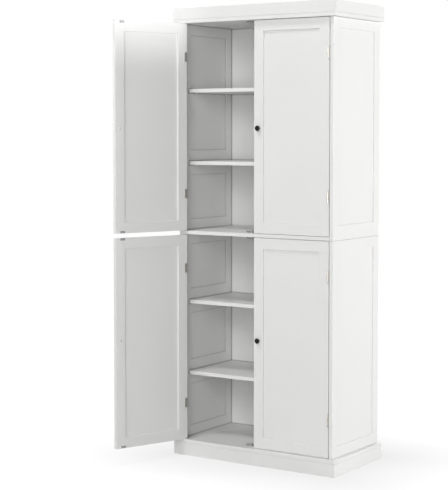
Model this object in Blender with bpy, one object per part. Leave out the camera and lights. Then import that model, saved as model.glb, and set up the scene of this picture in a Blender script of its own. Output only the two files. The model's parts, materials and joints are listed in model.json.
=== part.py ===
"""Pantry cabinet: two carcass boxes stacked between a plinth and a crown, with four inset doors.

Metres, +Z up. The origin is on the floor, at the centre of the plinth's footprint, and the
doors face -Y. The left doors stand open at OPEN_ANGLE and the right doors are closed.
"""

import math

import bmesh
import bpy

# Overall sizes
OVERALL_WIDTH = 0.756
OVERALL_DEPTH = 0.394
OVERALL_HEIGHT = 1.830

# Boards
PANEL = 0.015  # top, middle and bottom panels, sides and shelves
TRIM_BOARD = 0.015  # plinth and crown boards, and the brace under the bottom panel
BACK_BOARD = 0.005
EDGE_ROUND = 0.0010  # softened arrises of every painted board
FIT = 0.0003  # gap between two pieces that touch

# Plinth, crown and carcass
PLINTH_HEIGHT = 0.051
PLINTH_BRACE_WIDTH = 0.070
CROWN_HEIGHT = 0.046
SIDE_OVERHANG = 0.018
FRONT_OVERHANG = 0.017
LOWER_SIDE_HEIGHT = 0.845
BACK_INSET = 0.009  # from the rear edge of the sides to the back board
BACK_GROOVE = 0.006  # how far the back board enters each side

# Recessed fields
MARGIN = 0.043  # width of stiles and rails, on the doors and on the sides
OUTSIDE_RECESS = 0.005
INSIDE_RECESS = 0.0025
RAIL_ABOVE_SHELF = 0.045  # how far the flat band behind a shelf rises above it
RAIL_BELOW_SHELF = 0.040
BANDED_SHELVES = {"upper": 1, "lower": 2}  # shelves that have such a band, bottom shelf first

# Shelves
SHELF_SETBACK = 0.044  # from the front edges of the sides
UPPER_SHELF_OFFSETS = (-0.003, 0.007)  # each shelf from an even spacing, bottom shelf first
LOWER_SHELF_OFFSETS = (-0.012, -0.003)

# Doors
DOOR_THICKNESS = 0.018
DOOR_PANEL = 0.005
PANEL_TONGUE = 0.008  # how far the door panel enters the groove of its frame
HINGE_GAP = 0.003
MEETING_GAP = 0.003
DOOR_GAP = 0.0014  # above and below each door
OPEN_ANGLE = 110.5

# Knobs
KNOB_RADIUS = 0.0110
KNOB_REACH = 0.0150
KNOB_STEM_RADIUS = 0.0045
KNOB_STEM_REACH = 0.0050  # from the door's face to the back of the head
KNOB_FOOT_RADIUS = 0.0060
KNOB_FOOT_EDGE = 0.0012
KNOB_CROWN_FLAT = 0.0013  # radius of the small flat at the middle of the head
KNOB_ABOVE_DOOR_FOOT = {"upper": 0.416, "lower": 0.4325}
ROUND_SIDES = 24

# Hinges
LEAF = 0.0010
LEAF_HEIGHT = 0.038
LEAF_WRAP = 0.0120  # width of the door leaf on the back of the door
FRAME_LEAF_DEPTH = 0.030
BARREL_RADIUS = 0.0035
BARREL_HEIGHT = 0.048
BARREL_PROUD = 0.0007  # clearance between the barrel and the door's face
MIDDLE_KNUCKLE = 0.016
TIP_RADII = (0.0016, 0.0030)  # ends and bodies of the tips above and below each barrel
TIP_EDGE = 0.0015
TIP_NECK = 0.0010
PIN_RADIUS = 0.0014
PIN_PLAY = 0.0004
HINGE_FROM_DOOR_TOP = 0.1356
HINGE_FROM_DOOR_FOOT = 0.1506
BARREL_SIDES = 16

# Magnetic catches
CATCH_WIDTH = 0.028
CATCH_DEPTH = 0.013
CATCH_HEIGHT = 0.010
CATCH_FROM_DOOR_EDGE = 0.032  # centre of a catch from the free edge of its door
STRIKE_ROOM = 0.0015  # between a catch and the door's back, for the strike plate
MAGNET_SLOT = 0.003  # height and depth of the slot for the magnet
CATCH_EDGE_ROUND = 0.0006

# Finishes: linear colour, roughness, metallic
FINISHES = {
    "white_paint": ((0.80, 0.80, 0.785), 0.42, 0.0),
    "black_metal": ((0.012, 0.012, 0.012), 0.38, 1.0),
    "satin_nickel": ((0.42, 0.40, 0.37), 0.35, 1.0),
    "grey_plastic": ((0.45, 0.45, 0.45), 0.50, 0.0),
}

# Places that follow from the sizes
BODY_HALF = OVERALL_WIDTH / 2 - SIDE_OVERHANG
INNER_HALF = BODY_HALF - PANEL
FRONT = -OVERALL_DEPTH / 2 + FRONT_OVERHANG
REAR = OVERALL_DEPTH / 2
BACK_FACE = REAR - BACK_INSET - BACK_BOARD
LOWER_FLOOR = PLINTH_HEIGHT + PANEL
LOWER_TOP = LOWER_FLOOR + LOWER_SIDE_HEIGHT
UPPER_FLOOR = LOWER_TOP + PANEL
UPPER_TOP = OVERALL_HEIGHT - CROWN_HEIGHT - PANEL
DOOR_WIDTH = INNER_HALF - HINGE_GAP - MEETING_GAP / 2
AXIS_X = INNER_HALF - HINGE_GAP - BARREL_RADIUS
AXIS_TO_FACE = BARREL_RADIUS + BARREL_PROUD
AXIS_Y = FRONT - AXIS_TO_FACE
SECTIONS = {
    "lower": (LOWER_FLOOR, LOWER_TOP, LOWER_SHELF_OFFSETS),
    "upper": (UPPER_FLOOR, UPPER_TOP, UPPER_SHELF_OFFSETS),
}
SIDES = {"left": -1, "right": 1}


def clear_scene():
    """Remove every object that is already in the file."""
    for thing in list(bpy.data.objects):
        bpy.data.objects.remove(thing, do_unlink=True)


def paint(name, colour, roughness, metallic=0.0):
    """Make one Principled material and return it."""
    material = bpy.data.materials.new(name)
    material.use_nodes = True
    shader = material.node_tree.nodes["Principled BSDF"]
    shader.inputs["Base Color"].default_value = (*colour, 1.0)
    shader.inputs["Roughness"].default_value = roughness
    shader.inputs["Metallic"].default_value = metallic
    material.diffuse_color = (*colour, 1.0)
    return material


def put(name, mesh, finish, parent=None):
    """Add one object for a mesh, with a material of its own."""
    thing = bpy.data.objects.new(name, mesh)
    bpy.context.scene.collection.objects.link(thing)
    mesh.materials.append(paint(name, *FINISHES[finish]))
    thing.parent = parent
    return thing


def finish_mesh(name, work):
    """Turn a bmesh into a mesh whose faces all point out."""
    bmesh.ops.remove_doubles(work, verts=work.verts, dist=0.00001)
    bmesh.ops.recalc_face_normals(work, faces=work.faces)
    mesh = bpy.data.meshes.new(name)
    work.to_mesh(mesh)
    work.free()
    return mesh


def prism_mesh(name, outline, low, high):
    """Stand a flat outline of (x, y) points up from height low to height high."""
    work = bmesh.new()
    foot = work.faces.new([work.verts.new((x, y, low)) for x, y in outline])
    grown = bmesh.ops.extrude_face_region(work, geom=[foot])
    top = [part for part in grown["geom"] if isinstance(part, bmesh.types.BMVert)]
    bmesh.ops.translate(work, verts=top, vec=(0, 0, high - low))
    return finish_mesh(name, work)


def box_mesh(name, x, y, z):
    """A box between two limits on each axis; either limit may come first."""
    (x0, x1), (y0, y1) = sorted(x), sorted(y)
    return prism_mesh(name, [(x0, y0), (x1, y0), (x1, y1), (x0, y1)], *sorted(z))


def soften(thing, width=EDGE_ROUND, segments=2):
    """Round the sharp edges of a piece, and return the modifier that does it."""
    bevel = thing.modifiers.new("soft_edges", "BEVEL")
    bevel.width = width
    bevel.segments = segments
    bevel.limit_method = "ANGLE"
    bevel.angle_limit = math.radians(40)
    return bevel


def board(name, x, y, z, parent=None, finish="white_paint"):
    """A painted board with softened edges."""
    piece = put(name, box_mesh(name, x, y, z), finish, parent)
    soften(piece)
    return piece


def cut(piece, mesh, operation="DIFFERENCE"):
    """Cut a piece with a mesh, or join the mesh to it."""
    tool = bpy.data.objects.new(mesh.name, mesh)
    bpy.context.scene.collection.objects.link(tool)
    tool.parent = piece.parent
    tool.hide_render = True
    tool.display_type = "WIRE"
    change = piece.modifiers.new(mesh.name, "BOOLEAN")
    change.operation = operation
    change.object = tool
    change.solver = "EXACT"


def recess_mesh(name, axis, levels, across, up):
    """A cutter of rectangular rings: each level is (place along axis, how far the ring grows)."""
    work = bmesh.new()
    rings = []
    for place, grow in levels:
        a0, a1 = across[0] - grow, across[1] + grow
        b0, b1 = up[0] - grow, up[1] + grow
        corners = [(a0, b0), (a1, b0), (a1, b1), (a0, b1)]
        if axis == "x":
            rings.append([work.verts.new((place, a, b)) for a, b in corners])
        else:
            rings.append([work.verts.new((a, place, b)) for a, b in corners])
    for one, two in zip(rings, rings[1:]):
        for i in range(4):
            j = (i + 1) % 4
            work.faces.new((one[i], one[j], two[j], two[i]))
    work.faces.new(rings[0])
    work.faces.new(rings[-1])
    return finish_mesh(name, work)


def turned_mesh(name, profile, sides, axis="y"):
    """Spin a profile of (radius, place) points, given from one end of the axis to the other."""
    work = bmesh.new()
    rings = []
    for radius, place in profile:
        ring = []
        for i in range(sides):
            turn = 2 * math.pi * (i + 0.5) / sides
            a, b = radius * math.cos(turn), radius * math.sin(turn)
            ring.append(work.verts.new((a, place, b) if axis == "y" else (a, b, place)))
        rings.append(ring)
    for one, two in zip(rings, rings[1:]):
        for i in range(sides):
            j = (i + 1) % sides
            work.faces.new((one[i], one[j], two[j], two[i]))
    work.faces.new(rings[0])
    work.faces.new(rings[-1])
    mesh = finish_mesh(name, work)
    mesh.shade_smooth()
    mesh.set_sharp_from_angle(angle=math.radians(40))
    return mesh


def shelf_feet(floor, top, offsets):
    """Undersides of the shelves of one section, spread evenly and then shifted."""
    bay = (top - floor - len(offsets) * PANEL) / (len(offsets) + 1)
    return [floor + bay * (i + 1) + PANEL * i + shift for i, shift in enumerate(offsets)]


def mitred_board(name, outline, low, high):
    """A trim board whose long level edges are softened and whose mitres stay sharp."""
    mesh = prism_mesh(name, outline, low, high)
    weights = mesh.attributes.new("bevel_weight_edge", "FLOAT", "EDGE")
    for edge in mesh.edges:
        one, two = (mesh.vertices[i].co for i in edge.vertices)
        level = abs(one.z - two.z) < FIT
        straight = abs(one.x - two.x) < FIT or abs(one.y - two.y) < FIT
        weights.data[edge.index].value = 1.0 if level and straight else 0.0
    piece = put(name, mesh, "white_paint")
    soften(piece).limit_method = "WEIGHT"


def trim_ring(kind, low, high):
    """Front and side boards of the plinth or the crown, mitred at the front corners."""
    out, back = OVERALL_WIDTH / 2, -OVERALL_DEPTH / 2
    inner, face = out - TRIM_BOARD, back + TRIM_BOARD
    gap = FIT * math.sqrt(2)
    front = [(-out, back), (out, back), (inner, face), (-inner, face)]
    mitred_board(f"{kind}_front", front, low, high)
    for side, sign in SIDES.items():
        edge = [(out, back + gap), (out, REAR), (inner, REAR), (inner, face + gap)]
        mitred_board(f"{kind}_{side}", [(sign * x, y) for x, y in edge], low, high)


def make_plinth():
    """Plinth boards and the brace that carries the middle of the bottom panel."""
    high = PLINTH_HEIGHT - FIT
    trim_ring("plinth", 0.0, high)
    inner = OVERALL_WIDTH / 2 - TRIM_BOARD - FIT
    board("plinth_back", (-inner, inner), (REAR - TRIM_BOARD, REAR), (0.0, high))
    reach = OVERALL_DEPTH / 2 - TRIM_BOARD - FIT
    brace = PLINTH_BRACE_WIDTH / 2
    board("plinth_brace", (-brace, brace), (-reach, reach), (0.0, high))


def make_flat_panels():
    """Top, middle and bottom panels."""
    half, depth = OVERALL_WIDTH / 2, OVERALL_DEPTH / 2
    board("bottom_panel", (-half, half), (-depth, depth), (PLINTH_HEIGHT, LOWER_FLOOR))
    board("top_panel", (-half, half), (-depth, depth), (UPPER_TOP, UPPER_TOP + PANEL))
    inner = INNER_HALF - FIT
    board("middle_panel", (-inner, inner), (FRONT, BACK_FACE - FIT), (LOWER_TOP + FIT, UPPER_FLOOR))


def side_panel(section, side):
    """One side board, with a recessed field outside, fields between shelves inside, and a groove."""
    floor, top, offsets = SECTIONS[section]
    foot = floor if section == "lower" else LOWER_TOP
    sign = SIDES[side]
    name = f"{section}_{side}_side"
    piece = board(name, (sign * INNER_HALF, sign * BODY_HALF), (FRONT, REAR), (foot + FIT, top - FIT))
    outside = [
        (sign * (BODY_HALF - OUTSIDE_RECESS), 0.0),
        (sign * (BODY_HALF - EDGE_ROUND), 0.0),
        (sign * (BODY_HALF + EDGE_ROUND), 2 * EDGE_ROUND),
    ]
    field = (FRONT + MARGIN, REAR - MARGIN), (floor + MARGIN, top - MARGIN)
    cut(piece, recess_mesh(f"{name}_outside_cut", "x", outside, *field))
    inside = [
        (sign * (INNER_HALF + INSIDE_RECESS), 0.0),
        (sign * (INNER_HALF + EDGE_ROUND), 0.0),
        (sign * (INNER_HALF - EDGE_ROUND), 2 * EDGE_ROUND),
    ]
    depth = (FRONT + DOOR_THICKNESS + MARGIN, BACK_FACE - MARGIN)
    banded = shelf_feet(floor, top, offsets)[:BANDED_SHELVES[section]]
    starts = [floor + MARGIN] + [foot + PANEL + RAIL_ABOVE_SHELF for foot in banded]
    ends = [foot - RAIL_BELOW_SHELF for foot in banded] + [top - MARGIN]
    for i, heights in enumerate(zip(starts, ends)):
        cut(piece, recess_mesh(f"{name}_inside_cut_{i}", "x", inside, depth, heights))
    groove_x = sign * (INNER_HALF - 2 * FIT), sign * (INNER_HALF + BACK_GROOVE)
    groove_y = BACK_FACE - FIT, BACK_FACE + BACK_BOARD + FIT
    cut(piece, box_mesh(f"{name}_groove_cut", groove_x, groove_y, (foot - FIT, top + FIT)))


def make_carcass():
    """Sides, backs and shelves of both sections."""
    for section, (floor, top, offsets) in SECTIONS.items():
        for side in SIDES:
            side_panel(section, side)
        half = INNER_HALF + BACK_GROOVE - FIT
        thick = BACK_FACE, BACK_FACE + BACK_BOARD
        board(f"{section}_back", (-half, half), thick, (floor + FIT, top - FIT))
        inner = INNER_HALF - FIT
        depth = FRONT + SHELF_SETBACK, BACK_FACE - FIT
        for i, foot in enumerate(shelf_feet(floor, top, offsets)):
            board(f"{section}_shelf_{i + 1}", (-inner, inner), depth, (foot, foot + PANEL))


def door_window(sign, low, high):
    """Limits across and up of the window in a door's frame."""
    near, far = MARGIN - BARREL_RADIUS, DOOR_WIDTH - BARREL_RADIUS - MARGIN
    return sorted((-sign * near, -sign * far)), (low + MARGIN, high - MARGIN)


def door_frame(name, sign, hinge, low, high):
    """Stiles and rails of one door as one glued frame, with a groove around its window."""
    across = sign * BARREL_RADIUS, sign * (BARREL_RADIUS - DOOR_WIDTH)
    face, rear = AXIS_TO_FACE, AXIS_TO_FACE + DOOR_THICKNESS
    frame = board(name, across, (face, rear), (low, high), hinge)
    window = door_window(sign, low, high)
    levels = [
        (face - EDGE_ROUND, 2 * EDGE_ROUND),
        (face + EDGE_ROUND, 0.0),
        (rear - EDGE_ROUND, 0.0),
        (rear + EDGE_ROUND, 2 * EDGE_ROUND),
    ]
    cut(frame, recess_mesh(f"{name}_window_cut", "y", levels, *window))
    middle = (face + rear) / 2
    slot = DOOR_PANEL / 2 + FIT
    reach = PANEL_TONGUE + FIT
    groove = [(middle - slot, reach), (middle + slot, reach)]
    cut(frame, recess_mesh(f"{name}_groove_cut", "y", groove, *window))


def door_panel(name, sign, hinge, low, high):
    """The thin panel whose edges sit in the groove of the door's frame."""
    across, up = door_window(sign, low, high)
    across = across[0] - PANEL_TONGUE, across[1] + PANEL_TONGUE
    up = up[0] - PANEL_TONGUE, up[1] + PANEL_TONGUE
    middle = AXIS_TO_FACE + DOOR_THICKNESS / 2
    thick = middle - DOOR_PANEL / 2, middle + DOOR_PANEL / 2
    put(name, box_mesh(name, across, thick, up), "white_paint", hinge)


def door_knob(name, sign, hinge, height):
    """A turned knob on the free stile: foot, stem and rounded head."""
    face = AXIS_TO_FACE - FIT
    profile = [
        (KNOB_FOOT_RADIUS, face),
        (KNOB_FOOT_RADIUS, face - KNOB_FOOT_EDGE),
        (KNOB_STEM_RADIUS, face - 2 * KNOB_FOOT_EDGE),
        (KNOB_STEM_RADIUS, face - KNOB_STEM_REACH),
    ]
    middle = (KNOB_STEM_REACH + KNOB_REACH) / 2
    half = (KNOB_REACH - KNOB_STEM_REACH) / 2
    for degrees in range(-60, 76, 15):
        turn = math.radians(degrees)
        profile.append((KNOB_RADIUS * math.cos(turn), face - middle - half * math.sin(turn)))
    profile.append((KNOB_CROWN_FLAT, face - KNOB_REACH))
    knob = put(name, turned_mesh(name, profile, ROUND_SIDES), "black_metal", hinge)
    knob.location = (-sign * (DOOR_WIDTH - BARREL_RADIUS - MARGIN / 2), 0.0, height)


def door_leaf(name, sign, hinge, height):
    """The leaf that wraps the hinge edge of the door, with the middle knuckle."""
    edge, rear = BARREL_RADIUS + FIT, AXIS_TO_FACE + DOOR_THICKNESS + FIT
    start = BARREL_RADIUS
    outline = [
        (0.0, start), (edge, start), (edge, rear), (BARREL_RADIUS - LEAF_WRAP, rear),
        (BARREL_RADIUS - LEAF_WRAP, rear + LEAF), (edge + LEAF, rear + LEAF),
        (edge + LEAF, start - LEAF), (0.0, start - LEAF),
    ]
    outline = [(sign * x, y) for x, y in outline]
    low, high = height - LEAF_HEIGHT / 2, height + LEAF_HEIGHT / 2
    leaf = put(name, prism_mesh(name, outline, low, high), "satin_nickel", hinge)
    room = edge + FIT / 2
    middle = MIDDLE_KNUCKLE / 2
    web = middle - FIT
    for tag, one, two in (("top", height + web, high + FIT), ("foot", low - FIT, height - web)):
        cut(leaf, box_mesh(f"{name}_{tag}_cut", (-room, room), (-room, room), (one, two)))
    knuckle = turned_mesh(f"{name}_knuckle", [(BARREL_RADIUS, -middle), (BARREL_RADIUS, middle)],
                          BARREL_SIDES, "z")
    shift(knuckle, height)
    cut(leaf, knuckle, "UNION")
    bore = PIN_RADIUS + PIN_PLAY
    hole = turned_mesh(f"{name}_bore", [(bore, -BARREL_HEIGHT), (bore, BARREL_HEIGHT)], BARREL_SIDES, "z")
    shift(hole, height)
    cut(leaf, hole)


def shift(mesh, height):
    """Raise a mesh."""
    for corner in mesh.vertices:
        corner.co.z += height


def frame_leaf(name, sign, height):
    """The leaf on the side board, with the end knuckles, the pin and its tips."""
    hinge_x = sign * AXIS_X
    wall = INNER_HALF - FIT - AXIS_X
    near = wall - LEAF
    front = -LEAF
    deep = AXIS_TO_FACE + FRAME_LEAF_DEPTH
    outline = [(0.0, front), (wall, front), (wall, deep), (near, deep), (near, 0.0), (0.0, 0.0)]
    outline = [(hinge_x + sign * x, AXIS_Y + y) for x, y in outline]
    low, high = height - LEAF_HEIGHT / 2, height + LEAF_HEIGHT / 2
    leaf = put(name, prism_mesh(name, outline, low, high), "satin_nickel")
    middle = MIDDLE_KNUCKLE / 2 + FIT
    room = BARREL_RADIUS + LEAF
    cut(leaf, box_mesh(f"{name}_middle_cut", (hinge_x - room, hinge_x + room),
                       (AXIS_Y - room, AXIS_Y + room), (height - middle - FIT, height + middle + FIT)))
    tip, end = BARREL_HEIGHT / 2, LEAF_HEIGHT / 2
    upper_half = [
        (PIN_RADIUS, middle),
        (BARREL_RADIUS, middle),
        (BARREL_RADIUS, end),
        (TIP_RADII[1], end + TIP_NECK),
        (TIP_RADII[1], tip - TIP_EDGE),
        (TIP_RADII[0], tip),
    ]
    profile = [(radius, -place) for radius, place in reversed(upper_half)] + upper_half
    barrel = turned_mesh(f"{name}_barrel", profile, BARREL_SIDES, "z")
    for corner in barrel.vertices:
        corner.co.x += hinge_x
        corner.co.y += AXIS_Y
    shift(barrel, height)
    cut(leaf, barrel, "UNION")


def make_doors():
    """Four doors on their hinges; each hangs from an empty on its hinge axis."""
    for section, (floor, top, _) in SECTIONS.items():
        low, high = floor + DOOR_GAP, top - DOOR_GAP
        for side, sign in SIDES.items():
            door = f"{section}_{side}_door"
            hinge = bpy.data.objects.new(f"{door}_axis", None)
            bpy.context.scene.collection.objects.link(hinge)
            hinge.location = (sign * AXIS_X, AXIS_Y, 0.0)
            if side == "left":
                hinge.rotation_euler = (0.0, 0.0, math.radians(-OPEN_ANGLE))
            door_frame(f"{door}_frame", sign, hinge, low, high)
            door_panel(f"{door}_panel", sign, hinge, low, high)
            door_knob(f"{door}_knob", sign, hinge, low + KNOB_ABOVE_DOOR_FOOT[section])
            heights = {"top": high - HINGE_FROM_DOOR_TOP, "foot": low + HINGE_FROM_DOOR_FOOT}
            for place, height in heights.items():
                door_leaf(f"{door}_{place}_hinge_door_leaf", sign, hinge, height)
                frame_leaf(f"{door}_{place}_hinge_frame_leaf", sign, height)


def make_catches():
    """A magnetic catch above and below each door, with a slot for its magnet."""
    front = FRONT + DOOR_THICKNESS + STRIKE_ROOM
    for section, (floor, top, _) in SECTIONS.items():
        for side, sign in SIDES.items():
            middle = sign * (MEETING_GAP / 2 + CATCH_FROM_DOOR_EDGE)
            across = middle - CATCH_WIDTH / 2, middle + CATCH_WIDTH / 2
            for place, foot in (("top", top - FIT - CATCH_HEIGHT), ("foot", floor + FIT)):
                name = f"{section}_{side}_{place}_catch"
                up = foot, foot + CATCH_HEIGHT
                piece = put(name, box_mesh(name, across, (front, front + CATCH_DEPTH), up), "grey_plastic")
                soften(piece, CATCH_EDGE_ROUND, 1)
                slot = (across[0] + MAGNET_SLOT, across[1] - MAGNET_SLOT)
                height = (up[0] + up[1]) / 2
                cut(piece, box_mesh(f"{name}_slot_cut", slot, (front - MAGNET_SLOT, front + MAGNET_SLOT / 3),
                                    (height - MAGNET_SLOT / 2, height + MAGNET_SLOT / 2)))


clear_scene()
make_plinth()
make_flat_panels()
make_carcass()
trim_ring("crown", UPPER_TOP + PANEL + FIT, OVERALL_HEIGHT)
make_doors()
make_catches()
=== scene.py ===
# %% [markdown]
# # A white pantry cabinet, part by part
# The real cabinet is flat-packed furniture: boards of fibreboard, sprayed white, held together by
# hidden fittings, with butt hinges, magnetic catches and small black knobs. The frame that is
# loaded here already holds every board, door and hinge at its true size. This script gives them
# their finishes, adds the small metal parts that a fitter would screw on, and lights the whole.

# %% Load the frame
import json
import math

import bmesh
import bpy
from mathutils import Matrix, Vector


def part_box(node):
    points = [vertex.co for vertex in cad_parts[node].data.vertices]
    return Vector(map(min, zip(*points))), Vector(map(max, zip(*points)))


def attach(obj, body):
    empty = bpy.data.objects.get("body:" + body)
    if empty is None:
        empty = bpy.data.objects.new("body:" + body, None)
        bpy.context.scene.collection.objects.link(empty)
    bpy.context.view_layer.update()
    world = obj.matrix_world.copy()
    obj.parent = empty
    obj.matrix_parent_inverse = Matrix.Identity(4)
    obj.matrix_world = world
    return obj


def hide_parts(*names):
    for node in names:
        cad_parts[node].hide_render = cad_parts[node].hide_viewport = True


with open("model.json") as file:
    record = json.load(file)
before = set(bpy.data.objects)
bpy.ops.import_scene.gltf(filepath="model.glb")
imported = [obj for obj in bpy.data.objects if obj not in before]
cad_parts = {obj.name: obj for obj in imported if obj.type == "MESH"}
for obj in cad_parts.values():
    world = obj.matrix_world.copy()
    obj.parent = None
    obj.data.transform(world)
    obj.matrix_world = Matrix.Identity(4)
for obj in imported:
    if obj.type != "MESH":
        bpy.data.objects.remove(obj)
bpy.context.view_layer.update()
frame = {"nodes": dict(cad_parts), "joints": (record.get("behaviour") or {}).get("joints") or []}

nodes = frame["nodes"]
MM = 0.001

# %% [markdown]
# ## Colours and nodes
# A colour picked on a screen is an sRGB value, but a shader works in linear light, so each hex
# colour passes through one function. A second function adds a node, sets it and links it, which
# keeps a material as short as a recipe.

# %% Two helpers for every material


def linear(hex_colour):
    """Turn an sRGB colour such as '#e8e8e5' into the linear RGBA that a shader reads."""
    shares = [int(hex_colour[i:i + 2], 16) / 255 for i in (1, 3, 5)]
    bent = [s / 12.92 if s <= 0.04045 else ((s + 0.055) / 1.055) ** 2.4 for s in shares]
    return (*bent, 1.0)


def add(tree, kind, inputs=(), **settings):
    """Add a node: settings are its options, inputs its sockets' values or what feeds them."""
    made = tree.nodes.new(kind)
    for option, value in settings.items():
        setattr(made, option, value)
    for socket, value in dict(inputs).items():
        if isinstance(value, bpy.types.NodeSocket):
            tree.links.new(value, made.inputs[socket])
        else:
            made.inputs[socket].default_value = value
    return made


def finish_named(name, **uniform):
    """Start a material, set what is the same all over, and return it with its tree and shader."""
    material = bpy.data.materials.new(name)
    material.use_nodes = True
    shader = material.node_tree.nodes["Principled BSDF"]
    for socket, value in uniform.items():
        shader.inputs[socket.replace("_", " ")].default_value = value
    return material, material.node_tree, shader


def per_metre(millimetres):
    """The texture scale that makes one cell of a pattern this wide."""
    return 1 / (millimetres * MM)


print("white in linear light:", [round(c, 3) for c in linear("#e8e8e5")])

# %% [markdown]
# ## Satin white lacquer on fibreboard
# The boards are medium-density fibreboard, sanded, sealed and sprayed with a satin lacquer.
# Spraying leaves orange peel: soft waves a few millimetres wide that blur a reflection without
# showing as bumps. The film is thinner in places, so the white drifts a little from area to
# area. A flat colour would look like plastic, so the colour, the gloss and the surface each get a
# slow variation of their own.
#
# Inside the cabinet the corners and the steps of the recessed fields get a thin, grey line of painted
# shade. The Ambient Occlusion node finds such places, because it measures how much of the space
# close to a point is filled. It is used for the boards of the inside only.

# %% The lacquer of the boards
PEEL_MM = 6  # real peel is 2 mm wide, drawn coarser so that it shows at all
CLOUD_MM = 240
HANDLING_MM = 45
LACQUER_IOR = 1.49
GLOSS_DRIFT = 0.05  # how far the roughness wanders each way
PEEL_STRENGTH = 0.12
PEEL_DEPTH = 0.1 * MM
CREASE_MM = 7  # how far from a corner the painted shade reaches
CREASE_SHADE = 0.45  # painted shade: brightness at the very corner
CREASE_FULL = 0.5  # share of open space at which a crease has its full painted shade
CREASE_SAMPLES = 8
PAST_FIELDS = 4 * MM  # deeper than the recessed fields inside the side boards
PAST_DOORS = 2 * MM
INSIDE_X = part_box("upper_right_side")[0].x + PAST_FIELDS
INSIDE_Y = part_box("upper_right_door_frame")[1].y + PAST_DOORS


def satin_lacquer(name, light, dark, roughness, shade_creases=False):
    """White lacquer that wanders between two whites, with painted shade in the creases inside the cabinet.
    """
    material, tree, shader = finish_named(name, IOR=LACQUER_IOR)
    place = add(tree, "ShaderNodeTexCoord").outputs["Object"]
    cloud = add(tree, "ShaderNodeTexNoise", {"Vector": place, "Scale": per_metre(CLOUD_MM), "Detail": 3.0})
    colour = add(tree, "ShaderNodeMix", {"Factor": cloud.outputs["Fac"]}, data_type="RGBA")
    colour.inputs["A"].default_value = linear(dark)
    colour.inputs["B"].default_value = linear(light)
    # painted shade: the colour is darkened where the space nearby is filled, in corners and steps inside
    if shade_creases:
        near = add(tree, "ShaderNodeAmbientOcclusion", {"Distance": CREASE_MM * MM},
                   samples=CREASE_SAMPLES)
        painted_crease_shade = add(tree, "ShaderNodeMapRange", {
            "Value": near.outputs["AO"], "From Min": CREASE_FULL, "To Min": CREASE_SHADE})
        where = add(tree, "ShaderNodeSeparateXYZ", {"Vector": place}).outputs
        apart = add(tree, "ShaderNodeMath", {0: where["X"]}, operation="ABSOLUTE")
        between = add(tree, "ShaderNodeMath", {
            0: apart.outputs["Value"], 1: INSIDE_X}, operation="LESS_THAN")
        behind = add(tree, "ShaderNodeMath", {0: where["Y"], 1: INSIDE_Y}, operation="GREATER_THAN")
        within = add(tree, "ShaderNodeMath", {
            0: behind.outputs["Value"], 1: between.outputs["Value"]}, operation="MULTIPLY")
        colour = add(tree, "ShaderNodeMix", {
            "Factor": within.outputs["Value"], "A": colour.outputs["Result"], "B": painted_crease_shade.outputs["Result"]},
            data_type="RGBA", blend_type="MULTIPLY")
    tree.links.new(colour.outputs["Result"], shader.inputs["Base Color"])
    touch = add(tree, "ShaderNodeTexNoise", {
        "Vector": place, "Scale": per_metre(HANDLING_MM), "Detail": 4.0})
    gloss = add(tree, "ShaderNodeMapRange", {
        "Value": touch.outputs["Fac"], "To Min": roughness - GLOSS_DRIFT, "To Max": roughness + GLOSS_DRIFT})
    tree.links.new(gloss.outputs["Result"], shader.inputs["Roughness"])
    peel = add(tree, "ShaderNodeTexNoise", {"Vector": place, "Scale": per_metre(PEEL_MM), "Detail": 2.0})
    bump = add(tree, "ShaderNodeBump", {
        "Height": peel.outputs["Fac"], "Strength": PEEL_STRENGTH, "Distance": PEEL_DEPTH})
    tree.links.new(bump.outputs["Normal"], shader.inputs["Normal"])
    return material


sprayed_white = satin_lacquer("satin_white_lacquer_on_mdf", "#e9e9e8", "#e4e4e2", 0.42)
# the inside and back lacquers carry painted shade in their corners and steps
inside_white = satin_lacquer(
    "satin_white_lacquer_with_painted_corner_shade", "#e9e9e8", "#e4e4e2", 0.42, shade_creases=True)
back_white = satin_lacquer(
    "white_foil_on_hardboard", "#e7e7e6", "#e2e2e1", 0.50, shade_creases=True)
print("lacquers:", sprayed_white.name, inside_white.name, back_white.name)

# %% [markdown]
# ## Black knobs
# The knobs are zinc castings under a satin black lacquer. The lacquer is dark but not zero, and
# a satin coat gives one soft, pale highlight where a window or a lamp would show.

# %% Satin black lacquer on cast zinc
CAST_GRAIN_MM = 0.6
CAST_GRAIN_DEPTH = 0.05 * MM
CAST_GRAIN_STRENGTH = 0.1
KNOB_ROUGHNESS = (0.34, 0.44)
KNOB_SHEEN = 0.22  # specular level: 0.5 is usual, and less keeps the knob black in a white studio

black_lacquer, tree, shader = finish_named(
    "satin_black_lacquer_on_zinc", IOR=1.5, Specular_IOR_Level=KNOB_SHEEN)
place = add(tree, "ShaderNodeTexCoord").outputs["Object"]
grain = add(tree, "ShaderNodeTexNoise", {"Vector": place, "Scale": per_metre(CAST_GRAIN_MM), "Detail": 2.0})
tint = add(tree, "ShaderNodeMix", {"Factor": grain.outputs["Fac"]}, data_type="RGBA")
tint.inputs["A"].default_value = linear("#090909")
tint.inputs["B"].default_value = linear("#111110")
tree.links.new(tint.outputs["Result"], shader.inputs["Base Color"])
gloss = add(tree, "ShaderNodeMapRange", {
    "Value": grain.outputs["Fac"], "To Min": KNOB_ROUGHNESS[0], "To Max": KNOB_ROUGHNESS[1]})
tree.links.new(gloss.outputs["Result"], shader.inputs["Roughness"])
bump = add(tree, "ShaderNodeBump", {
    "Height": grain.outputs["Fac"], "Strength": CAST_GRAIN_STRENGTH, "Distance": CAST_GRAIN_DEPTH})
tree.links.new(bump.outputs["Normal"], shader.inputs["Normal"])
print("knob finish:", black_lacquer.name)

# %% [markdown]
# ## Hinges, screws and strike plates
# The hinges are steel, brushed and then plated with nickel, which leaves fine upright lines and a
# slightly warm grey. The screw behind each knob has the same nickel. The hinge screws and the strike
# plates are cheaper: bright zinc, which is bluer and comes out in soft patches. Both are metals, so
# their colour is the colour of what they reflect.

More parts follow.
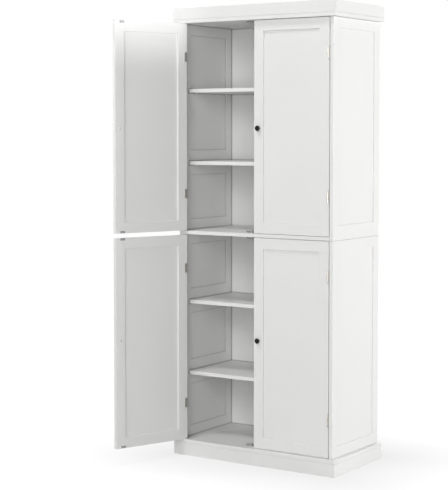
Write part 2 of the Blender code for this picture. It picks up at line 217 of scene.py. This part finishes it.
# %% Two plated steels
BRUSH_LINE_MM = 0.5
BRUSH_LENGTH_MM = 12
ZINC_PATCH_MM = 3
PLATING_DRIFT = 0.07  # how far the roughness wanders each way
PLATING_STRENGTH = 0.15
PLATING_DEPTH = 0.03 * MM


def plated_steel(name, light, dark, cell, roughness):
    """A metal whose tone and gloss follow one noise, stretched by a cell size in millimetres."""
    material, tree, shader = finish_named(name, Metallic=1.0)
    place = add(tree, "ShaderNodeTexCoord").outputs["Object"]
    stretch = add(tree, "ShaderNodeMapping", {"Vector": place, "Scale": [per_metre(c) for c in cell]})
    lines = add(tree, "ShaderNodeTexNoise", {
        "Vector": stretch.outputs["Vector"], "Scale": 1.0, "Detail": 2.0})
    tone = add(tree, "ShaderNodeMix", {"Factor": lines.outputs["Fac"]}, data_type="RGBA")
    tone.inputs["A"].default_value = linear(dark)
    tone.inputs["B"].default_value = linear(light)
    tree.links.new(tone.outputs["Result"], shader.inputs["Base Color"])
    gloss = add(tree, "ShaderNodeMapRange", {
        "Value": lines.outputs["Fac"], "To Min": roughness - PLATING_DRIFT,
        "To Max": roughness + PLATING_DRIFT})
    tree.links.new(gloss.outputs["Result"], shader.inputs["Roughness"])
    bump = add(tree, "ShaderNodeBump", {
        "Height": lines.outputs["Fac"], "Strength": PLATING_STRENGTH, "Distance": PLATING_DEPTH})
    tree.links.new(bump.outputs["Normal"], shader.inputs["Normal"])
    return material


satin_nickel = plated_steel(
    "satin_nickel_on_steel", "#d6d4ce", "#c3c0b9", (BRUSH_LINE_MM, BRUSH_LINE_MM, BRUSH_LENGTH_MM), 0.36)
bright_zinc = plated_steel("bright_zinc_on_steel", "#a6a8a7", "#8e9191", [ZINC_PATCH_MM] * 3, 0.38)
print("metals:", satin_nickel.name, bright_zinc.name)

# %% [markdown]
# ## Magnetic catches
# The catch bodies are moulded in grey ABS in a tool with a fine spark-eroded texture, so they
# scatter light evenly. The magnet shows in the slot as a dark ferrite bar.

# %% Grey moulded ABS and ferrite
SPARK_TEXTURE_MM = 0.8
PLASTIC_IOR = 1.52
SPARK_DRIFT = 0.06  # how far the roughness wanders each way
SPARK_STRENGTH = 0.2
SPARK_DEPTH = 0.05 * MM


def moulded(name, light, dark, roughness):
    """A moulded or pressed solid with an even, fine, dull texture."""
    material, tree, shader = finish_named(name, IOR=PLASTIC_IOR)
    place = add(tree, "ShaderNodeTexCoord").outputs["Object"]
    sparks = add(tree, "ShaderNodeTexVoronoi", {"Vector": place, "Scale": per_metre(SPARK_TEXTURE_MM)})
    tone = add(tree, "ShaderNodeMix", {"Factor": sparks.outputs["Distance"]}, data_type="RGBA")
    tone.inputs["A"].default_value = linear(dark)
    tone.inputs["B"].default_value = linear(light)
    tree.links.new(tone.outputs["Result"], shader.inputs["Base Color"])
    gloss = add(tree, "ShaderNodeMapRange", {
        "Value": sparks.outputs["Distance"], "To Min": roughness - SPARK_DRIFT,
        "To Max": roughness + SPARK_DRIFT})
    tree.links.new(gloss.outputs["Result"], shader.inputs["Roughness"])
    bump = add(tree, "ShaderNodeBump", {
        "Height": sparks.outputs["Distance"], "Strength": SPARK_STRENGTH,
        "Distance": SPARK_DEPTH})
    tree.links.new(bump.outputs["Normal"], shader.inputs["Normal"])
    return material


grey_abs = moulded("grey_moulded_abs", "#b4b4b2", "#a8a8a6", 0.50)
white_nylon = moulded("white_moulded_nylon", "#e8e8e6", "#e0e0dd", 0.45)
ferrite = moulded("dark_ferrite_magnet", "#5c5b5a", "#4e4d4c", 0.60)
print("moulded:", grey_abs.name, white_nylon.name, ferrite.name)

# %% [markdown]
# ## Dress the frame
# Every board, hinge leaf and catch of the frame keeps its shape and takes its real finish, and the
# boards inside also take painted shade in their corners. The finish follows from what the piece is,
# which its name says.

# %% Assign the finishes


def finish_of(name):
    """The finish of a piece of the frame."""
    if name.endswith("_knob"):
        return black_lacquer
    if name.endswith("_leaf"):
        return satin_nickel
    if name.endswith("_catch"):
        return grey_abs
    # backs, side boards and shelves take lacquers with painted shade in their corners
    if name.endswith("_back") and not name.startswith("plinth"):
        return back_white
    if name.endswith("_side") or "_shelf_" in name:
        return inside_white
    return sprayed_white


for name, piece in nodes.items():
    for seat in piece.material_slots:
        seat.material = finish_of(name)
print("dressed:", len(nodes), "pieces")

# %% [markdown]
# ## A place on a door
# Knobs, strike plates and screws are fitted to a door where it lies closed, because that is how a
# fitter measures: so far from the free edge, so far from the top. Some doors stand open here, so
# each door gets a matrix that carries a closed place to where the door now is. A joint's lowest
# value is the closed door, and so the matrix turns the door back by that much.

# %% The four doors and their closed sizes
MIRROR = {"left": -1, "right": 1}
doors = {}
for joint in frame["joints"]:
    name = joint["child"]
    section, side, _ = name.split("_")
    low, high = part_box(f"{section}_right_door_frame")
    hinge = Vector((joint["pos_m"][0], joint["pos_m"][1], 0.0))
    opened = math.radians(-joint["range_deg"][0])
    turn = Matrix.Rotation(opened, 4, Vector(joint["axis"]))
    doors[name] = {
        "section": section,
        "side": side,
        "sign": MIRROR[side],
        "hinge_x": high.x,
        "back_y": high.y,
        "foot": low.z,
        "top": high.z,
        "place": Matrix.Translation(hinge) @ turn @ Matrix.Translation(-hinge),
    }
    print(name, "opened by", round(math.degrees(opened), 1), "degrees")

# %% [markdown]
# ## Turned shapes
# Knobs, pins and screw heads are all turned on a lathe or pressed round. A lathe shape is a
# profile of radius and height spun about an axis. It is made in mesh code here and not from a
# sphere or a cylinder, so that each has its own foot, shoulder and crown.

# %% Spin a profile, and gather copies into one piece


def turned(profile, sides):
    """A closed bmesh spun about Z from (radius, height) points, given from one end to the other."""
    work = bmesh.new()
    rings = []
    for radius, height in profile:
        turns = [2 * math.pi * (i + 0.5) / sides for i in range(sides)]
        rings.append([work.verts.new((radius * math.cos(t), radius * math.sin(t), height)) for t in turns])
    for one, two in zip(rings, rings[1:]):
        for i in range(sides):
            j = (i + 1) % sides
            work.faces.new((one[i], one[j], two[j], two[i]))
    work.faces.new(rings[0])
    work.faces.new(rings[-1])
    bmesh.ops.recalc_face_normals(work, faces=work.faces)
    return work


def arc(centre, radius, start, stop, steps):
    """Points of an arc in a profile, from one angle to another in degrees."""
    angles = [math.radians(start + (stop - start) * i / steps) for i in range(steps + 1)]
    return [(centre[0] + radius[0] * math.cos(a), centre[1] + radius[1] * math.sin(a)) for a in angles]


def as_mesh(name, work, smooth_degrees=35):
    """Turn a bmesh into a mesh that is smooth except across its sharp edges."""
    mesh = bpy.data.meshes.new(name)
    work.to_mesh(mesh)
    work.free()
    mesh.shade_smooth()
    mesh.set_sharp_from_angle(angle=math.radians(smooth_degrees))
    return mesh


def gathered(name, mesh, places, finish, body):
    """One piece made of a copy of the mesh at each place, in one finish, riding on a body."""
    work = bmesh.new()
    for place in places:
        start = len(work.verts)
        work.from_mesh(mesh)
        work.verts.ensure_lookup_table()
        bmesh.ops.transform(work, matrix=place, verts=work.verts[start:])
    if places[0].determinant() < 0:
        bmesh.ops.reverse_faces(work, faces=work.faces)
    piece = bpy.data.objects.new(name, as_mesh(name, work))
    bpy.context.scene.collection.objects.link(piece)
    piece.data.materials.append(finish)
    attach(piece, body)
    return piece


def facing(x, y, z, towards):
    """The matrix that stands a shape made along +Z at a point, looking in a direction."""
    turn = Vector((0, 0, 1)).rotation_difference(Vector(towards)).to_matrix().to_4x4()
    return Matrix.Translation((x, y, z)) @ turn


print("lathe ready")

# %% [markdown]
# ## The knobs
# A knob has a small foot that spreads the load on the lacquer, a neck for the fingertips and a
# flattened round head. The head is an ellipse in profile, wider than it is deep.

# %% Turn a knob and fit one to each door
KNOB_SIDES = 48
HAIR_INSIDE = 0.99  # the turned knob is a hair inside the faceted knob of the frame
NECK_SHARE = 0.40  # neck radius as a share of the head's
FOOT_SHARE = 0.54  # foot radius as a share of the head's
DEPTH_SHARE = 0.62  # head depth as a share of the reach
FOOT_WALL = 1.0 * MM
FOOT_ROUND = 0.6 * MM
NECK_FILLET = 1.8 * MM
HEAD_ARC = (-58, 84)  # degrees of the ellipse, from the neck to the crown

for name, door in doors.items():
    low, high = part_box(f"{door['section']}_right_door_knob")
    reach = HAIR_INSIDE * (high.y - low.y)
    head = HAIR_INSIDE * (high.x - low.x) / 2
    head_depth = DEPTH_SHARE * reach
    foot = FOOT_SHARE * head
    neck = NECK_SHARE * head
    shoulder = foot - FOOT_ROUND
    profile = [(foot, 0.0), (foot, FOOT_WALL)]
    profile += arc((shoulder, FOOT_WALL), (FOOT_ROUND, FOOT_ROUND), 20, 90, 4)
    fillet_at = (shoulder, FOOT_WALL + FOOT_ROUND + NECK_FILLET)
    profile += arc(fillet_at, (shoulder - neck, NECK_FILLET), 270, 180, 6)[1:]
    middle = reach - head_depth / 2
    profile += arc((0.0, middle), (head, head_depth / 2), *HEAD_ARC, 24)
    shape = as_mesh("knob", turned(profile, KNOB_SIDES), 50)
    centre = (low + high) / 2
    place = door["place"] @ facing(door["sign"] * centre.x, high.y, centre.z, (0, -1, 0))
    knob = gathered(f"{name}_turned_knob", shape, [place], black_lacquer, name)
    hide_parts(f"{name}_knob")
    print(knob.name, "head", round(2000 * head, 1), "mm across")

# %% [markdown]
# ## Screws
# Every screw here has a cross recess. The head is turned first, and then two crossed slots with
# sloping sides are cut from it, as the punch does that forms it. One head serves the hinges, and a
# larger, domed one is on the back of each door and holds the knob.

# %% Cut a cross recess in a turned head
HINGE_SCREW_RADIUS, HINGE_SCREW_RISE = 2.6 * MM, 0.7 * MM
KNOB_SCREW_RADIUS, KNOB_SCREW_RISE = 4.2 * MM, 2.2 * MM
RIM_SHARE = 0.35  # height of the upright rim, of the rise
SLOT_LONG, SLOT_WIDE = 0.62, 0.16  # half length and half width, of the radius
SLOT_DEEP = 0.75  # of the rise
SLOT_FOOT, SLOT_MOUTH = 0.6, 1.2  # how far the slot narrows below and widens above


def screw_head(name, radius, rise, sides=28):
    """A domed screw head standing on Z = 0, with a cross recess."""
    rim = RIM_SHARE * rise
    profile = [(radius, 0.0)] + arc((0.0, rim), (radius, rise - rim), 0, 82, 6)
    head = bpy.data.objects.new(name, as_mesh(name, turned(profile, sides)))
    bpy.context.scene.collection.objects.link(head)
    long, short, depth = SLOT_LONG * radius, SLOT_WIDE * radius, SLOT_DEEP * rise
    cutter = bmesh.new()
    for wide, narrow in ((long, short), (short, long)):
        corners = []
        for level, spread in ((rise - depth, SLOT_FOOT), (rise + depth, SLOT_MOUTH)):
            x, y = wide * spread, narrow * spread
            corners.append([
                cutter.verts.new((a * x, b * y, level)) for a, b in ((1, 1), (-1, 1), (-1, -1), (1, -1))])
        cutter.faces.new(corners[0][::-1])
        cutter.faces.new(corners[1])
        for i in range(4):
            j = (i + 1) % 4
            cutter.faces.new((corners[0][i], corners[0][j], corners[1][j], corners[1][i]))
    punch = bpy.data.objects.new(f"{name}_punch", as_mesh(f"{name}_punch", cutter))
    bpy.context.scene.collection.objects.link(punch)
    cut = head.modifiers.new("recess", "BOOLEAN")
    cut.operation, cut.solver, cut.use_self, cut.object = "DIFFERENCE", "EXACT", True, punch
    seen = head.evaluated_get(bpy.context.evaluated_depsgraph_get())
    mesh = bpy.data.meshes.new_from_object(seen)
    for tool in (head, punch):
        bpy.data.objects.remove(tool, do_unlink=True)
    return mesh


small_screw = screw_head("small_screw", HINGE_SCREW_RADIUS, HINGE_SCREW_RISE)
knob_screw = screw_head("knob_screw", KNOB_SCREW_RADIUS, KNOB_SCREW_RISE)
print("screw head faces:", len(small_screw.polygons), len(knob_screw.polygons))

# %% [markdown]
# ## Fix the hinges and the knobs
# Each hinge leaf on a side board has three screws, two near the barrel and one deeper in. Each
# leaf on a door wraps its edge and is screwed from the back. The heads lie almost flush, because
# a door has to close over them.

# %% Screws in both leaves of each hinge, and one behind each knob
FLUSH = 0.25 * MM  # how much of a hinge screw stands above its leaf; closed leaves are 0.4 mm apart
LEAF_THICK = 1.0 * MM
SPREAD = 12 * MM  # from the middle of the leaf to the screws above and below it
NEAR_ROW = 16 * MM  # from the rear edge of the leaf to the two screws nearer the barrel
DEEP_ROW = 6 * MM  # from the same edge to the third screw

for name, door in doors.items():
    sign = door["sign"]
    for hinge in ("top_hinge", "foot_hinge"):
        low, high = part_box(f"{door['section']}_right_door_{hinge}_frame_leaf")
        middle = (low.z + high.z) / 2
        sink = high.x - LEAF_THICK + HINGE_SCREW_RISE - FLUSH
        spots = [
            (high.y - NEAR_ROW, middle - SPREAD),
            (high.y - NEAR_ROW, middle + SPREAD),
            (high.y - DEEP_ROW, middle),
        ]
        places = [facing(sign * sink, y, z, (-sign, 0, 0)) for y, z in spots]
        gathered(f"{name}_{hinge}_frame_screws", small_screw, places, bright_zinc, "carcass")
        low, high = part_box(f"{door['section']}_right_door_{hinge}_door_leaf")
        across = (low.x + door["hinge_x"]) / 2
        level = high.y - HINGE_SCREW_RISE + FLUSH
        places = [
            door["place"] @ facing(sign * across, level, middle + z, (0, 1, 0)) for z in (-SPREAD, SPREAD)]
        gathered(f"{name}_{hinge}_door_screws", small_screw, places, bright_zinc, name)
    knob_low, knob_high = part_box(f"{door['section']}_right_door_knob")
    middle = (knob_low + knob_high) / 2
    place = door["place"] @ facing(sign * middle.x, door["back_y"], middle.z, (0, 1, 0))
    gathered(f"{name}_knob_screw", knob_screw, [place], satin_nickel, name)
    print(name, "screwed on")

# %% [markdown]
# ## Strike plates and magnets
# Opposite each catch, the back of the door carries a thin steel plate for the magnet to hold. It
# has rounded corners and a softened rim. The ferrite bar sits in the slot of the catch.

# %% A stamped plate with rounded corners


def stamped(name, width, height, thick, corner):
    """A thin plate lying on Z = 0, with round corners and a softened upper edge."""
    work = bmesh.new()
    outline = []
    for x, y, start in ((1, 1, 0), (-1, 1, 90), (-1, -1, 180), (1, -1, 270)):
        centre = (x * (width / 2 - corner), y * (height / 2 - corner))
        outline += arc(centre, (corner, corner), start, start + 90, 6)
    ease = 0.25 * thick
    levels = []
    for shrink, level in ((0.0, 0.0), (0.0, thick - ease), (ease, thick)):
        x_share, y_share = 1 - 2 * shrink / width, 1 - 2 * shrink / height
        levels.append([work.verts.new((x * x_share, y * y_share, level)) for x, y in outline])
    for one, two in zip(levels, levels[1:]):
        for i in range(len(outline)):
            j = (i + 1) % len(outline)
            work.faces.new((one[i], one[j], two[j], two[i]))
    work.faces.new(levels[0])
    work.faces.new(levels[-1])
    bmesh.ops.recalc_face_normals(work, faces=work.faces)
    return as_mesh(name, work)


PLATE_WIDTH, PLATE_HEIGHT, PLATE_THICK, PLATE_CORNER = 22 * MM, 9.4 * MM, 1.0 * MM, 1.5 * MM
MAGNET_WIDTH, MAGNET_HEIGHT, MAGNET_THICK, MAGNET_CORNER = 21 * MM, 2.2 * MM, 1.0 * MM, 0.4 * MM
MAGNET_SINK = 1.2 * MM  # from the front of the catch to the back of its bar
EDGE_INSET = 0.6 * MM  # from the top or foot of the door to its strike plate
strike = stamped("strike", PLATE_WIDTH, PLATE_HEIGHT, PLATE_THICK, PLATE_CORNER)
magnet = stamped("magnet", MAGNET_WIDTH, MAGNET_HEIGHT, MAGNET_THICK, MAGNET_CORNER)

for name, door in doors.items():
    sign = door["sign"]
    for end in ("top", "foot"):
        low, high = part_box(f"{door['section']}_right_{end}_catch")
        middle = (low + high) / 2
        inset = EDGE_INSET + PLATE_HEIGHT / 2
        height = door["top"] - inset if end == "top" else door["foot"] + inset
        upright = door["place"] @ facing(sign * middle.x, door["back_y"], height, (0, 1, 0))
        gathered(f"{name}_{end}_strike_plate", strike, [upright], bright_zinc, name)
        bar = facing(sign * middle.x, low.y + MAGNET_SINK, middle.z, (0, -1, 0))
        catch = f"{door['section']}_{door['side']}_{end}"
        gathered(f"{catch}_magnet", magnet, [bar], ferrite, "carcass")
print("strike plates and magnets fitted")

# %% [markdown]
# ## Shelf pins
# Each shelf rests on four plastic pins, white like the boards so that they don't show. A pin has
# a collar that stops it in its hole, and a rounded nose that carries the board.

# %% Four pins under each shelf
PIN_REACH = 9 * MM
PIN_FROM_EDGE = 50 * MM
PIN_BELOW = 3.6 * MM  # from the underside of the shelf to the middle of the pin
PIN_GAP = 0.3 * MM  # from the end of the shelf to the foot of the pin
COLLAR_RADIUS, COLLAR_WALL = 3.5 * MM, 0.9 * MM
NOSE_RADIUS, NOSE_ROUND = 2.5 * MM, 0.8 * MM

pin_profile = [
    (COLLAR_RADIUS, 0.0), (COLLAR_RADIUS, COLLAR_WALL), (3.1 * MM, 1.2 * MM), (NOSE_RADIUS, 1.3 * MM)]
pin_profile += arc((NOSE_RADIUS - NOSE_ROUND, PIN_REACH - NOSE_ROUND), (NOSE_ROUND, NOSE_ROUND), 0, 90, 5)
shelf_pin = as_mesh("shelf_pin", turned(pin_profile, 24))
for section in ("lower", "upper"):
    for number in (1, 2):
        low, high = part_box(f"{section}_shelf_{number}")
        height = low.z - PIN_BELOW
        places = [
            facing(side * (high.x + PIN_GAP), depth, height, (-side, 0, 0))
            for side in (-1, 1) for depth in (low.y + PIN_FROM_EDGE, high.y - PIN_FROM_EDGE)]
        gathered(f"{section}_shelf_{number}_pins", shelf_pin, places, white_nylon, "carcass")
print("shelf pins fitted")

# %% [markdown]
# ## The floor
# A product studio stands the piece on a seamless white sweep, lit on its own so that it burns out
# to plain white. Lighting it so hard would also throw light up into the cabinet and wash out its
# inside. So the sheet has two answers to a ray. For light that bounces it is ordinary white paper.
# For the eye, and for what shines in the knobs, it has a glow of its own, made weaker close to
# the cabinet as painted soft shade, and real shadows still fall on it.

# %% A pale studio floor
FLOOR_HALF = 30.0
PAPER = linear("#e1e1e1")  # what bounces
PAPER_SEEN = linear("#595959")  # what takes the shadows the eye sees
SHADE_REACH = 0.55  # metres from the cabinet to where the painted soft shade ends
# the glow is lower at the base of the cabinet: painted soft shade
GLOW_AT_BASE, GLOW_FAR = 0.78, 1.0
PAPER_ROUGHNESS = 0.9

work = bmesh.new()
corners = ((-1, -1), (1, -1), (1, 1), (-1, 1))
work.faces.new([work.verts.new((FLOOR_HALF * x, FLOOR_HALF * y, 0.0)) for x, y in corners])
floor_mesh = bpy.data.meshes.new("studio_floor")
work.to_mesh(floor_mesh)
work.free()
floor = bpy.data.objects.new("studio_floor", floor_mesh)
bpy.context.scene.collection.objects.link(floor)

floor_paper, tree, shader = finish_named(
    "white_sweep_paper", Roughness=PAPER_ROUGHNESS, Specular_IOR_Level=0.0, Emission_Color=linear("#ffffff"))
ray = add(tree, "ShaderNodeLightPath").outputs
seen = add(tree, "ShaderNodeMath", {0: ray["Is Camera Ray"], 1: ray["Is Glossy Ray"]}, operation="MAXIMUM")
paper = add(tree, "ShaderNodeMix", {"Factor": seen.outputs["Value"]}, data_type="RGBA")
paper.inputs["A"].default_value, paper.inputs["B"].default_value = PAPER, PAPER_SEEN
tree.links.new(paper.outputs["Result"], shader.inputs["Base Color"])
plinth_low, plinth_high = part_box("plinth_front")[0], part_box("plinth_back")[1]
half = (plinth_high - plinth_low) / 2
middle = (plinth_high + plinth_low) / 2
point = add(tree, "ShaderNodeTexCoord").outputs["Object"]
for operation, other in (
        ("SUBTRACT", (middle.x, middle.y, 0.0)),
        ("ABSOLUTE", None),
        ("SUBTRACT", (half.x, half.y, 0.0)),
        ("MAXIMUM", (0.0, 0.0, 0.0))):
    inputs = {0: point} if other is None else {0: point, 1: other}
    point = add(tree, "ShaderNodeVectorMath", inputs, operation=operation).outputs["Vector"]
away = add(tree, "ShaderNodeVectorMath", {0: point}, operation="LENGTH")
# painted shade: the glow rises from its base level to full white with distance from the plinth
glow = add(tree, "ShaderNodeMapRange", {
    "Value": away.outputs["Value"], "From Max": SHADE_REACH, "To Min": GLOW_AT_BASE, "To Max": GLOW_FAR})
glow = add(tree, "ShaderNodeMath", {
    0: glow.outputs["Result"], 1: seen.outputs["Value"]}, operation="MULTIPLY")
tree.links.new(glow.outputs["Value"], shader.inputs["Emission Strength"])
floor.data.materials.append(floor_paper)
print("floor laid, in soft shade up to", SHADE_REACH, "m from the base")

# %% [markdown]
# ## Light
# The light is what a white studio gives. Every lamp is a square soft box aimed at the middle of
# the cabinet. Four are in front, low and high, and light the doors and the shelves. One on the
# right makes the side the brightest face, and two weaker ones on the left and behind keep the
# far sides from going dark. The surround is white to the eye and in the metal, but it adds very
# little light of its own, or the inside of the cabinet would lose its shade.

# %% Surround and soft boxes
SURROUND_SEEN, SURROUND_IN_GLOSS, SURROUND_LIGHT = 1.0, 1.0, 0.05

world = bpy.data.worlds.new("white_studio")
world.use_nodes = True
tree = world.node_tree
surround = tree.nodes["Background"]
surround.inputs["Color"].default_value = linear("#ffffff")
ray = add(tree, "ShaderNodeLightPath").outputs
strength = add(tree, "ShaderNodeMath", {
    0: ray["Is Camera Ray"], 1: SURROUND_SEEN - SURROUND_LIGHT, 2: SURROUND_LIGHT}, operation="MULTIPLY_ADD")
strength = add(tree, "ShaderNodeMath", {
    0: ray["Is Glossy Ray"], 1: SURROUND_IN_GLOSS - SURROUND_LIGHT, 2: strength.outputs["Value"]},
    operation="MULTIPLY_ADD")
tree.links.new(strength.outputs["Value"], surround.inputs["Strength"])
bpy.context.scene.world = world

TARGET = Vector((0.0, 0.0, 0.9))
SOFT_BOXES = {
    # name: (place in metres, width in metres, power in watts)
    "front_high_box": ((1.5, -5.5, 3.5), 1.5, 81.0),
    "front_low_box": ((1.5, -6.0, 1.0), 1.5, 20.0),
    "front_right_box": ((3.0, -5.5, 1.6), 2.5, 98.0),
    "front_top_box": ((-0.5, -2.4, 5.5), 1.2, 89.0),
    "right_box": ((6.0, 3.0, 2.0), 2.0, 290.0),
    "left_box": ((-5.0, -0.5, 2.2), 3.0, 80.0),
    "back_box": ((-1.5, 5.0, 2.4), 3.0, 80.0),
}
for name, (spot, size, power) in SOFT_BOXES.items():
    lamp = bpy.data.lights.new(name, "AREA")
    lamp.shape, lamp.size, lamp.energy = "SQUARE", size, power
    box = bpy.data.objects.new(name, lamp)
    bpy.context.scene.collection.objects.link(box)
    box.location = spot
    box.rotation_euler = (TARGET - Vector(spot)).to_track_quat("-Z", "Y").to_euler()
bpy.context.scene.view_settings.view_transform = "Standard"
print("soft boxes:", len(SOFT_BOXES))

# %% [markdown]
# ## A flagged lamp for the open door
# One more lamp shines from the right on the back of the upper open door, and fades out a hand's
# width below the top of the door. A spot lamp with a wide soft rim does the fading. A flag, which
# is a black card on a stand, keeps the beam off the crown. It only casts its shadow: to the eye
# and to bounced light the card isn't there.

# %% Spot lamp and flag
SPOT_PLACE = Vector((3.35, -1.74, 1.9))
SPOT_AIM = Vector((-0.40, -0.34, 3.01))  # far above the door, so that only the rim of the beam meets it
CARD_AWAY = 1.5  # metres from the lamp to the card
CARD_SPAN = (23.0, 40.0)  # degrees from the -X direction that the card covers, seen from the lamp
CARD_HEIGHTS = (1.3, 2.6)
SPOT_POWER = 383.0
SPOT_ANGLE = 41.2  # degrees across the beam
SPOT_RIM = 0.38  # how much of the beam fades
SPOT_RADIUS = 0.03

spot_lamp = bpy.data.lights.new("door_top_spot", "SPOT")
spot_lamp.energy = SPOT_POWER
spot_lamp.spot_size = math.radians(SPOT_ANGLE)
spot_lamp.spot_blend = SPOT_RIM
spot_lamp.shadow_soft_size = SPOT_RADIUS
beam = bpy.data.objects.new("door_top_spot", spot_lamp)
bpy.context.scene.collection.objects.link(beam)
beam.location = SPOT_PLACE
beam.rotation_euler = (SPOT_AIM - SPOT_PLACE).to_track_quat("-Z", "Y").to_euler()

work = bmesh.new()
card_corners = []
for degrees, height in ((CARD_SPAN[0], 0), (CARD_SPAN[1], 0), (CARD_SPAN[1], 1), (CARD_SPAN[0], 1)):
    turn = math.radians(degrees)
    x, y = SPOT_PLACE.x - CARD_AWAY * math.cos(turn), SPOT_PLACE.y + CARD_AWAY * math.sin(turn)
    card_corners.append(work.verts.new((x, y, CARD_HEIGHTS[height])))
work.faces.new(card_corners)
card_mesh = bpy.data.meshes.new("flag_card")
work.to_mesh(card_mesh)
work.free()
card = bpy.data.objects.new("flag_card", card_mesh)
bpy.context.scene.collection.objects.link(card)
black_card = finish_named("black_card", Roughness=PAPER_ROUGHNESS, Base_Color=linear("#101010"))[0]
card.data.materials.append(black_card)
card.visible_camera = card.visible_diffuse = card.visible_glossy = card.visible_transmission = False
print("spot lamp at", tuple(round(c, 2) for c in beam.location), "with its flag")

# %% [markdown]
# ## Camera
# The camera stands to the right, somewhat above the middle of the cabinet, with a long lens that
# keeps the uprights almost parallel. A small shift does part of the looking down, as an
# architect's lens does, and a slight tilt does the rest.

# %% Place the camera
SENSOR_MM, LENS_MM = 36.0, 104.24
SHIFT_DOWN = -0.07
CAMERA_PLACE = (3.0228, -4.9141, 1.3283)
CAMERA_AZIMUTH = 33.757
CAMERA_TILT = 3.17

camera_data = bpy.data.cameras.new("studio_camera")
camera_data.sensor_width = SENSOR_MM
camera_data.lens = LENS_MM
camera_data.shift_y = SHIFT_DOWN
camera = bpy.data.objects.new("studio_camera", camera_data)
bpy.context.scene.collection.objects.link(camera)
camera.location = CAMERA_PLACE
camera.rotation_euler = (math.radians(90 - CAMERA_TILT), 0.0, math.radians(CAMERA_AZIMUTH))
bpy.context.scene.camera = camera
print("camera at", [round(c, 2) for c in camera.location])
